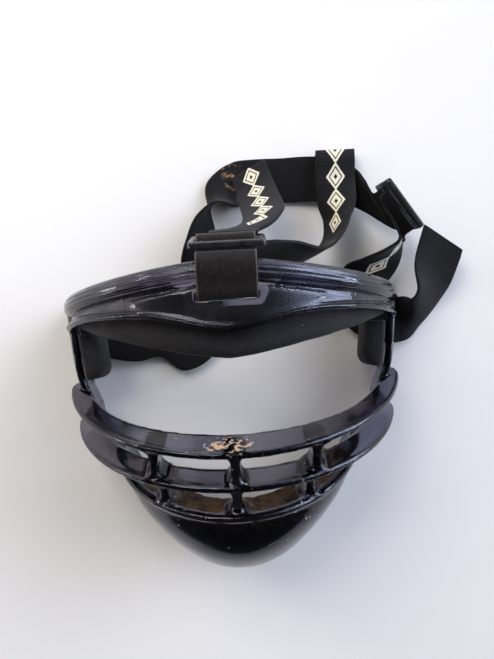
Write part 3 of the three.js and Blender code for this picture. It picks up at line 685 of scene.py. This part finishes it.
# The same foam, with brown field dirt worked into the first 9 mm below its top edge.
CHIN_DIRT = {"top": -60, "lean": 0.317, "depth": 9, "full_depth": 2}
soiled, spot, matt, black = closed_cell_foam("soiled_closed_cell_foam")
axes = add(soiled, "ShaderNodeSeparateXYZ", {0: spot})
level = add(soiled, "ShaderNodeMath", {0: axes.outputs[2], 1: CHIN_DIRT["lean"], 2: axes.outputs[1]},
            operation="MULTIPLY_ADD")
low, high = (place((0, CHIN_DIRT["top"] - CHIN_DIRT[key], 0)).y for key in ("depth", "full_depth"))
near_top = add(soiled, "ShaderNodeMapRange", {0: level.outputs[0], 1: low, 2: high, 3: -0.2, 4: 0.16})
clods = add(soiled, "ShaderNodeTexNoise", {"Vector": spot, "Scale": 1000 / 6, "Detail": 6, "Roughness": 0.66})
soil = add(soiled, "ShaderNodeMath", {0: clods.outputs["Fac"], 1: near_top.outputs[0]}, operation="ADD")
caked = add(soiled, "ShaderNodeMapRange", {0: soil.outputs[0], 1: 0.53, 2: 0.74, 3: 0, 4: 0.75})
earth = add(soiled, "ShaderNodeMix", {0: caked.outputs[0], 6: black, 7: linear("#6e5432")}, data_type="RGBA")
soiled.node_tree.links.new(earth.outputs[2], matt.inputs["Base Color"])
chin_pad.data.materials.append(soiled)
smooth_all(chin_pad)
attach(chin_pad, "root")
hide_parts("chin_pad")


# Front tab: a loop of brown-black polyester webbing through the brow's slot, over its edge and round the slide.
# The webbing is woven flat, 25.4 mm wide and 1.5 mm thick, and is bent through stations along its middle line.
WEBBING = {"width": 25.4, "thickness": 1.5, "cells": 10, "edge": 0.4, "waver": 0.012, "waver_length": 9,
           "crease": 0.25, "crease_length": 16, "crease_width": 12}
FRONT_SLIDE = {"width": 33, "at": (1.2, 38.4, 80.5), "along": (1, 0, 0), "across": (0, 0.287, -0.958)}
SIDEWAYS = (1, 0, 0)


def beside_slide(x, along, out):
    _, y, z = FRONT_SLIDE["at"]
    _, down, back = FRONT_SLIDE["across"]
    return (x, y + along * down - out * back, z + along * back + out * down), SIDEWAYS


def curve_point(points, share):
    spot = min(max(share, 0), 1) * (len(points) - 1)
    i = min(int(spot), len(points) - 2)
    b, c = points[i], points[i + 1]
    a = points[i - 1] if i else b * 2 - c
    d = points[i + 2] if i + 2 < len(points) else c * 2 - b
    first, second, third = (max((q - p).length, 1e-6) ** 0.5 for p, q in ((a, b), (b, c), (c, d)))
    leave = ((b - a) / first - (c - a) / (first + second) + (c - b) / second) * second
    arrive = ((c - b) / second - (d - b) / (second + third) + (d - c) / third) * second
    bend, twist = (c - b) * 3 - leave * 2 - arrive, (b - c) * 2 + leave + arrive
    t = spot - i
    return b + leave * t + bend * t ** 2 + twist * t ** 3


def webbing(name, stations, width, steps):
    middles = [Vector(at) for at, _ in stations]
    sides = [Vector(across).normalized() for _, across in stations]
    lines = []
    length = 0
    for k in range(steps + 1):
        share = k / steps
        middle, across = curve_point(middles, share), curve_point(sides, share).normalized()
        ahead = curve_point(middles, min(share + 1e-4, 1)) - curve_point(middles, max(share - 1e-4, 0))
        length += (middle - lines[-1][0]).length if lines else 0
        lines.append((middle, across, ahead.cross(across).normalized(), length))
    bpy.ops.object.select_all(action="DESELECT")
    bpy.ops.mesh.primitive_grid_add(x_subdivisions=WEBBING["cells"], y_subdivisions=steps, size=2)
    strap = bpy.context.object
    strap.name = name
    strap.data.name = name
    flat = []
    for vertex in strap.data.vertices:
        middle, across, face, along = lines[round((vertex.co.y + 1) / 2 * steps)]
        waver = noise.noise(Vector((along / WEBBING["waver_length"], vertex.co.x, width)))
        aside = vertex.co.x * width / 2 * (1 + WEBBING["waver"] * waver)
        crease = noise.noise(Vector((along / WEBBING["crease_length"], aside / WEBBING["crease_width"], 3)))
        flat.append((aside / 1000, along / 1000))
        vertex.co = place(middle + across * aside + face * (WEBBING["crease"] * crease))
    for loop in strap.data.loops:
        strap.data.uv_layers[0].data[loop.index].uv = flat[loop.vertex_index]
    apply_modifier(strap, "SOLIDIFY", thickness=WEBBING["thickness"] / 1000, offset=0, use_even_offset=True)
    apply_modifier(strap, "BEVEL", width=WEBBING["edge"] / 1000, segments=2, angle_limit=math.radians(50))
    smooth_all(strap)
    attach(strap, "root")
    return strap


TAB_X = 0.6
ROUND_THE_BROW = [
    (31.2, 80.6), (26, 82.4), (19, 82.6), (15.4, 83.6), (14.3, 86.4), (13.9, 89), (15.2, 90.8), (19.4, 92),
    (24.6, 93.6), (28.6, 93.4), (31.8, 91),
]
ROUND_THE_BAR = [
    (-8.7, -3), (-5.6, -2.4), (-4.3, 0), (-2.7, 2.4), (0, 3.1), (2.9, 2.2), (3.5, 0), (3.1, -2.8), (1, -4.4),
]
tab_stations = [((TAB_X, y, z), SIDEWAYS) for y, z in ROUND_THE_BROW]
tab_stations += [beside_slide(TAB_X, along, out) for along, out in ROUND_THE_BAR]
front_tab = webbing("front_tab_webbing", tab_stations, WEBBING["width"], 240)

# Polyester webbing: worn brown-black and fuzzy, its lengthwise threads about 0.7 mm wide.
# Dust lies in it, and its selvedges are worn pale.
TAB_WEAVE = {"thread": 0.7, "float": 3.5, "wear": 7, "grit": 0.8, "selvedge": (0.8, 0.3)}
tab_weave = new_material("worn_polyester_webbing")
thread = add(tab_weave, "ShaderNodeTexCoord").outputs["UV"]
warp = add(tab_weave, "ShaderNodeMapping", {
    "Vector": thread, "Scale": (1000 / TAB_WEAVE["thread"], 1000 / TAB_WEAVE["float"], 1)})
fuzz = add(tab_weave, "ShaderNodeTexNoise", {"Vector": warp.outputs[0], "Scale": 1, "Detail": 4, "Roughness": 0.65})
worn = add(tab_weave, "ShaderNodeTexNoise", {"Vector": thread, "Scale": 1000 / TAB_WEAVE["wear"], "Detail": 5})
nap = add(tab_weave, "ShaderNodeMix", {0: worn.outputs["Fac"], 6: linear("#050404"), 7: linear("#191412")},
          data_type="RGBA")
fleck = add(tab_weave, "ShaderNodeMapRange", {0: fuzz.outputs["Fac"], 1: 0.54, 2: 0.76, 3: 0, 4: 0.5})
brown = add(tab_weave, "ShaderNodeMix", {0: fleck.outputs[0], 6: nap.outputs[2], 7: linear("#40362f")},
            data_type="RGBA")
grit = add(tab_weave, "ShaderNodeTexNoise", {"Vector": thread, "Scale": 1000 / TAB_WEAVE["grit"], "Detail": 2})
speck = add(tab_weave, "ShaderNodeMapRange", {0: grit.outputs["Fac"], 1: 0.7, 2: 0.76, 3: 0, 4: 0.6})
dusty = add(tab_weave, "ShaderNodeMix", {0: speck.outputs[0], 6: brown.outputs[2], 7: linear("#8a7562")},
            data_type="RGBA")
axes = add(tab_weave, "ShaderNodeSeparateXYZ", {0: thread})
aside = add(tab_weave, "ShaderNodeMath", {0: axes.outputs[0]}, operation="ABSOLUTE")
begun, full = ((WEBBING["width"] / 2 - inset) / 1000 for inset in TAB_WEAVE["selvedge"])
selvedge = add(tab_weave, "ShaderNodeMapRange", {0: aside.outputs[0], 1: begun, 2: full, 3: 0, 4: 0.45})
edged = add(tab_weave, "ShaderNodeMix", {0: selvedge.outputs[0], 6: dusty.outputs[2], 7: linear("#6f675f")},
            data_type="RGBA")
cloth = add(tab_weave, "ShaderNodeBump", {"Height": fuzz.outputs["Fac"], "Strength": 0.5, "Distance": 0.0004})
finish_surface(tab_weave, add(tab_weave, "ShaderNodeBsdfPrincipled", {
    "Base Color": edged.outputs[2], "Roughness": 0.9, "Specular IOR Level": 0.2, "Sheen Weight": 0.1,
    "Normal": cloth.outputs[0]}))
front_tab.data.materials.append(tab_weave)
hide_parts("front_tab")


# Slides: two black acetal tri-glides, moulded flat with a middle bar, one over the brow and one at the right.
# Each is a plate with rounded corners and two slots, its edges broken by the mould, turned to where it hangs.
SLIDE = {"length": 22, "thickness": 3, "slot": 5, "bar": 4, "side": 2.5, "corner": 2, "edge": 0.7}
REAR_SLIDE = {"width": 31.5, "at": (94.2, 63.8, 17.2), "along": (0.57, -0.8, -0.11), "across": (0.05, -0.1, 0.99)}


def deselect_mesh(kind):
    bpy.ops.object.mode_set(mode="EDIT")
    bpy.ops.mesh.select_mode(type=kind)
    bpy.ops.mesh.select_all(action="DESELECT")
    bpy.ops.object.mode_set(mode="OBJECT")


def tri_glide(name, row):
    half = row["width"] / 2
    columns = [-half, SLIDE["side"] - half, half - SLIDE["side"], half]
    steps = [SLIDE["bar"] / 2, SLIDE["bar"] / 2 + SLIDE["slot"], SLIDE["length"] / 2]
    rows = [-y for y in reversed(steps)] + steps
    bpy.ops.object.select_all(action="DESELECT")
    across, down = len(columns) - 1, len(rows) - 1
    bpy.ops.mesh.primitive_grid_add(x_subdivisions=across, y_subdivisions=down, size=2)
    slide = bpy.context.object
    slide.name = name
    slide.data.name = name
    for vertex in slide.data.vertices:
        i, j = round((vertex.co.x + 1) / 2 * across), round((vertex.co.y + 1) / 2 * down)
        vertex.co = Vector((columns[i], rows[j], 0)) / 1000
    deselect_mesh("FACE")
    for face in slide.data.polygons:
        face.select = abs(face.center.x) < 1e-4 and SLIDE["bar"] / 2000 < abs(face.center.y) < steps[1] / 1000
    bpy.ops.object.mode_set(mode="EDIT")
    bpy.ops.mesh.delete(type="FACE")
    bpy.ops.object.mode_set(mode="OBJECT")
    apply_modifier(slide, "SOLIDIFY", thickness=SLIDE["thickness"] / 1000, offset=0)
    deselect_mesh("EDGE")
    corner = Vector((half, SLIDE["length"] / 2)) / 1000
    for edge in slide.data.edges:
        a, b = (slide.data.vertices[i].co for i in edge.vertices)
        upright = abs(a.z - b.z) > 1e-5
        edge.select = upright and abs(abs(a.x) - corner.x) < 1e-5 and abs(abs(a.y) - corner.y) < 1e-5
    bpy.ops.object.mode_set(mode="EDIT")
    bpy.ops.mesh.bevel(offset=SLIDE["corner"] / 1000, segments=5)
    bpy.ops.object.mode_set(mode="OBJECT")
    apply_modifier(slide, "BEVEL", width=SLIDE["edge"] / 1000, segments=3, angle_limit=math.radians(40))
    x = Vector(row["along"]).normalized()
    z = x.cross(Vector(row["across"])).normalized()
    turn = Matrix((x, z.cross(x), z)).transposed().to_4x4()
    slide.data.transform(Matrix.Translation(place(row["at"])) @ turn)
    pick(slide)
    bpy.ops.object.shade_smooth_by_angle(angle=math.radians(35))
    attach(slide, "root")
    return slide


# Moulded acetal: glossy black, with duller grey patches where the webbing has rubbed it.
acetal = new_material("black_acetal")
spot = add(acetal, "ShaderNodeTexCoord").outputs["Object"]
rubbed = add(acetal, "ShaderNodeTexNoise", {"Vector": spot, "Scale": 1000 / 5, "Detail": 5, "Roughness": 0.65})
gloss = add(acetal, "ShaderNodeMapRange", {0: rubbed.outputs["Fac"], 1: 0.4, 2: 0.7, 3: 0.22, 4: 0.5})
black = add(acetal, "ShaderNodeMix", {0: rubbed.outputs["Fac"], 6: linear("#0c0c0e"), 7: linear("#2a292c")},
            data_type="RGBA")
finish_surface(acetal, add(acetal, "ShaderNodeBsdfPrincipled", {
    "Base Color": black.outputs[2], "Roughness": gloss.outputs[0], "IOR": 1.48}))
for name, row in (("front_slide", FRONT_SLIDE), ("rear_slide", REAR_SLIDE)):
    slide = tri_glide(name + "_tri_glide", row)
    slide.data.materials.append(acetal)
    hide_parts(name)


# Top strap: one length of black woven elastic, folded round the front slide's upper bar with its legs spread.
# The left leg ends sewn on the rear band, and the right leg wraps under the band.
TOP_STRAP_WIDTH = 22
top_strap = webbing("top_strap_elastic", [
    ((13.2, 91.5, 4.3), (0.88, 0.46, 0)), ((15.5, 80, 13), (0.9, 0.42, 0.1)), ((17.8, 66, 32), (0.92, 0.38, 0)),
    ((18, 54, 54), (0.93, 0.33, -0.1)), ((11, 46.8, 67), (0.98, 0.15, -0.1)),
    beside_slide(4.6, 9.4, 3.2), beside_slide(3.8, 6, 2.5), beside_slide(3.8, 5.6, 0), beside_slide(3.8, 6, -2.5),
    beside_slide(4.2, 9.8, -3.4),
    ((8, 38.2, 62), (0.85, 0.1, 0.5)), ((18, 37.6, 54), (0.5, 0.25, 0.85)), ((31, 36.4, 47), (0.3, 0.35, 0.9)),
    ((45, 37, 38), (0.3, 0.1, 0.95)), ((55, 46, 28), (0.3, 0, 0.95)), ((59.5, 58, 19), (0.5, -0.05, 0.87)),
    ((61, 70, 12.5), (0.92, 0, 0.4)), ((61.8, 82, 8), (1, 0, 0.03)), ((62.4, 95, 7.4), SIDEWAYS),
    ((62.8, 99.4, 4.8), SIDEWAYS), ((62.8, 96, 1.5), SIDEWAYS), ((62.8, 84, 1.4), SIDEWAYS)], TOP_STRAP_WIDTH, 420)


# Woven elastic: dull black with fine cross ribs 1.3 mm apart, a faint sheen, and pale dust in the weave.
# A plain chain of cream lozenges is woven along its middle, and dirt is caked on it, over the given lengths in mm.
# The wave node has about 3.14 bands to a unit at scale 1.
ELASTIC = {"rib": 1.3, "bands": 3.1415, "fibre": 1.1, "wear": 16, "clod": 4}
LOZENGE = {"length": 16, "slimness": 1.6, "outside": (9.6, 9.2), "line_at": 6.6, "line": (0.4, 0.8),
           "heart": (2.4, 2.8), "fray": 1.8}


def elastic(name, motif=(), dirty=()):
    material = new_material(name)
    thread = add(material, "ShaderNodeTexCoord").outputs["UV"]
    axes = add(material, "ShaderNodeSeparateXYZ", {0: thread})
    rib_scale = 1000 / ELASTIC["rib"] / ELASTIC["bands"]
    ribs = add(material, "ShaderNodeTexWave", {"Vector": thread, "Scale": rib_scale, "Distortion": 0.6},
               bands_direction="Y")
    fibre = add(material, "ShaderNodeTexNoise", {
        "Vector": thread, "Scale": 1000 / ELASTIC["fibre"], "Detail": 5, "Roughness": 0.7})
    worn = add(material, "ShaderNodeTexNoise", {"Vector": thread, "Scale": 1000 / ELASTIC["wear"], "Detail": 4})
    colour = add(material, "ShaderNodeMix", {0: worn.outputs["Fac"], 6: linear("#040305"), 7: linear("#100f12")},
                 data_type="RGBA").outputs[2]
    for start, end in motif:
        step = add(material, "ShaderNodeMath", {0: axes.outputs[1], 1: LOZENGE["length"] / 1000, 2: 0},
                   operation="WRAP")
        from_middle = add(material, "ShaderNodeMath", {0: step.outputs[0], 1: LOZENGE["length"] / 2000},
                          operation="SUBTRACT")
        ahead = add(material, "ShaderNodeMath", {0: from_middle.outputs[0]}, operation="ABSOLUTE")
        aside = add(material, "ShaderNodeMath", {0: axes.outputs[0]}, operation="ABSOLUTE")
        across = add(material, "ShaderNodeMath", {0: aside.outputs[0], 1: LOZENGE["slimness"]}, operation="MULTIPLY")
        lozenge = add(material, "ShaderNodeMath", {0: across.outputs[0], 1: ahead.outputs[0]}, operation="ADD")
        edge = add(material, "ShaderNodeMath", {0: fibre.outputs["Fac"], 1: LOZENGE["fray"] / 1000},
                   operation="MULTIPLY")
        rough_edge = add(material, "ShaderNodeMath", {0: lozenge.outputs[0], 1: edge.outputs[0]}, operation="ADD")
        from_line = add(material, "ShaderNodeMath", {0: rough_edge.outputs[0], 1: LOZENGE["line_at"] / 1000},
                        operation="SUBTRACT")
        line = add(material, "ShaderNodeMath", {0: from_line.outputs[0]}, operation="ABSOLUTE")
        bounds = {}
        for key, measured in (("outside", rough_edge), ("heart", rough_edge), ("line", line)):
            none, full = (far / 1000 for far in LOZENGE[key])
            bounds[key] = add(material, "ShaderNodeMapRange", {0: measured.outputs[0], 1: none, 2: full, 3: 0, 4: 1})
        solid = add(material, "ShaderNodeMath", {0: bounds["outside"].outputs[0], 1: bounds["line"].outputs[0]},
                    operation="MULTIPLY")
        begun = add(material, "ShaderNodeMath", {0: axes.outputs[1], 1: start / 1000}, operation="GREATER_THAN")
        not_over = add(material, "ShaderNodeMath", {0: axes.outputs[1], 1: end / 1000}, operation="LESS_THAN")
        ring = add(material, "ShaderNodeMath", {0: solid.outputs[0], 1: bounds["heart"].outputs[0]},
                   operation="MULTIPLY")
        within = add(material, "ShaderNodeMath", {0: begun.outputs[0], 1: not_over.outputs[0]}, operation="MULTIPLY")
        cream = add(material, "ShaderNodeMath", {0: ring.outputs[0], 1: within.outputs[0]}, operation="MULTIPLY")
        colour = add(material, "ShaderNodeMix", {0: cream.outputs[0], 6: colour, 7: linear("#d9d2bd")},
                     data_type="RGBA").outputs[2]
    dust = add(material, "ShaderNodeMapRange", {0: fibre.outputs["Fac"], 1: 0.68, 2: 0.78, 3: 0, 4: 0.35})
    colour = add(material, "ShaderNodeMix", {0: dust.outputs[0], 6: colour, 7: linear("#7f7263")},
                 data_type="RGBA").outputs[2]
    for start, end in dirty:
        far = add(material, "ShaderNodeMath", {0: axes.outputs[1], 1: (start + end) / 2000}, operation="SUBTRACT")
        away = add(material, "ShaderNodeMath", {0: far.outputs[0]}, operation="ABSOLUTE")
        near = add(material, "ShaderNodeMapRange", {
            0: away.outputs[0], 1: (end - start) / 2000, 2: 0, 3: -0.25, 4: 0.1})
        cake = add(material, "ShaderNodeTexNoise", {
            "Vector": thread, "Scale": 1000 / ELASTIC["clod"], "Detail": 6, "Roughness": 0.7})
        caked = add(material, "ShaderNodeMath", {0: cake.outputs["Fac"], 1: near.outputs[0]}, operation="ADD")
        tan = add(material, "ShaderNodeMapRange", {0: caked.outputs[0], 1: 0.6, 2: 0.7, 3: 0, 4: 0.8})
        colour = add(material, "ShaderNodeMix", {0: tan.outputs[0], 6: colour, 7: linear("#9a7d5c")},
                     data_type="RGBA").outputs[2]
    relief = add(material, "ShaderNodeMath", {0: ribs.outputs["Fac"], 1: fibre.outputs["Fac"]}, operation="ADD")
    weave = add(material, "ShaderNodeBump", {"Height": relief.outputs[0], "Strength": 0.3, "Distance": 0.0003})
    finish_surface(material, add(material, "ShaderNodeBsdfPrincipled", {
        "Base Color": colour, "Roughness": 0.85, "Specular IOR Level": 0.2, "Sheen Weight": 0.06,
        "Normal": weave.outputs[0]}))
    return material


patterned_elastic = elastic("patterned_woven_elastic", motif=[(0, 80), (176, 304)], dirty=[(150, 180)])
top_strap.data.materials.append(patterned_elastic)
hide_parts("top_strap")


# Rear band: black woven elastic from the left temple slot, lying in two soft folds and a twist, to the rear slide.
# Its inside faces up along the back, and carries tan dirt.
rear_band = webbing("rear_band_elastic", [
    ((-90.2, 1.6, 5.2), (0, 1, 0)), ((-80, 1.6, 5.2), (0, 1, 0)), ((-67, -1, 4.2), (0, 1, 0.05)),
    ((-55, -2.6, 3), (0, 1, 0)), ((-43, -0.6, 3.6), (-0.05, 1, 0.05)), ((-32, -9.4, 3), (-0.2, 0.98, 0)),
    ((-22.4, -6, 3), (-0.72, 0.7, 0.05)), ((-18.4, 5, 4), (-1, 0.05, 0.05)), ((-16.4, 21, 6), (-1, 0.05, 0.05)),
    ((-15.4, 36, 8.4), (-0.93, 0.1, 0.3)), ((-14.6, 49, 11.4), (-0.6, 0.1, 0.78)),
    ((-12.4, 60.4, 13.6), (-0.3, 0.05, 0.95)), ((-8.6, 69.6, 13.4), (0.15, -0.1, 0.98)),
    ((-2.2, 77.8, 6.8), (0.6, -0.7, 0.38)), ((6.4, 84, 2), (0.12, -0.99, 0.04)),
    ((16, 84.8, 1.5), (0, -1, 0)), ((34, 84.8, 1.6), (0, -1, 0)), ((50, 84.2, 3.8), (0, -1, 0)),
    ((63, 83.2, 4.5), (0.02, -1, 0)), ((75, 77, 4.8), (0.15, -0.97, -0.02)), ((82, 69.4, 7.6), (0.36, -0.9, -0.15)),
    ((88.6, 61.8, 11.7), REAR_SLIDE["along"]), ((92.7, 63.7, 12.7), REAR_SLIDE["along"])], WEBBING["width"], 440)
rear_band.data.materials.append(elastic("dirty_woven_elastic", dirty=[(150, 196)]))
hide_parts("rear_band")


# Right side strap: black woven elastic from the rear slide, through the right temple slot, with its tail left free.
# The tail lies out beyond the post, cut square at its end.
side_strap = webbing("side_strap_elastic", [
    ((93.5, 60.5, 22.1), REAR_SLIDE["along"]), ((90, 57, 19.4), (0.57, -0.75, -0.33)),
    ((93.6, 52, 14.4), (0.5, -0.5, -0.7)),
    ((95.5, 46, 13), (0.3, 0.1, -0.95)), ((91.5, 40, 13), (0.55, 0.05, -0.83)), ((84, 33.5, 12), (0.85, -0.15, -0.5)),
    ((75, 26.5, 9.2), (0.93, -0.36, 0)), ((71.6, 16.5, 5.6), SIDEWAYS), ((75.6, 6.4, 5.2), (0.74, 0.67, 0)),
    ((86.5, 1.6, 5.2), (0.08, 1, 0)), ((95.5, 1.8, 5.8), (-0.08, 0.98, 0.15)), ((102.6, 5.4, 11.4), (-0.4, 0.5, 0.76)),
    ((109, 14, 14), (-0.65, 0.25, 0.72)), ((113.5, 29, 13), (-0.9, 0.35, 0.25)), ((119.6, 46, 12), (-0.81, 0.59, 0))],
    WEBBING["width"], 320)
side_strap.data.materials.append(elastic("side_woven_elastic", motif=[(16, 64)]))
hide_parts("side_strap_right")
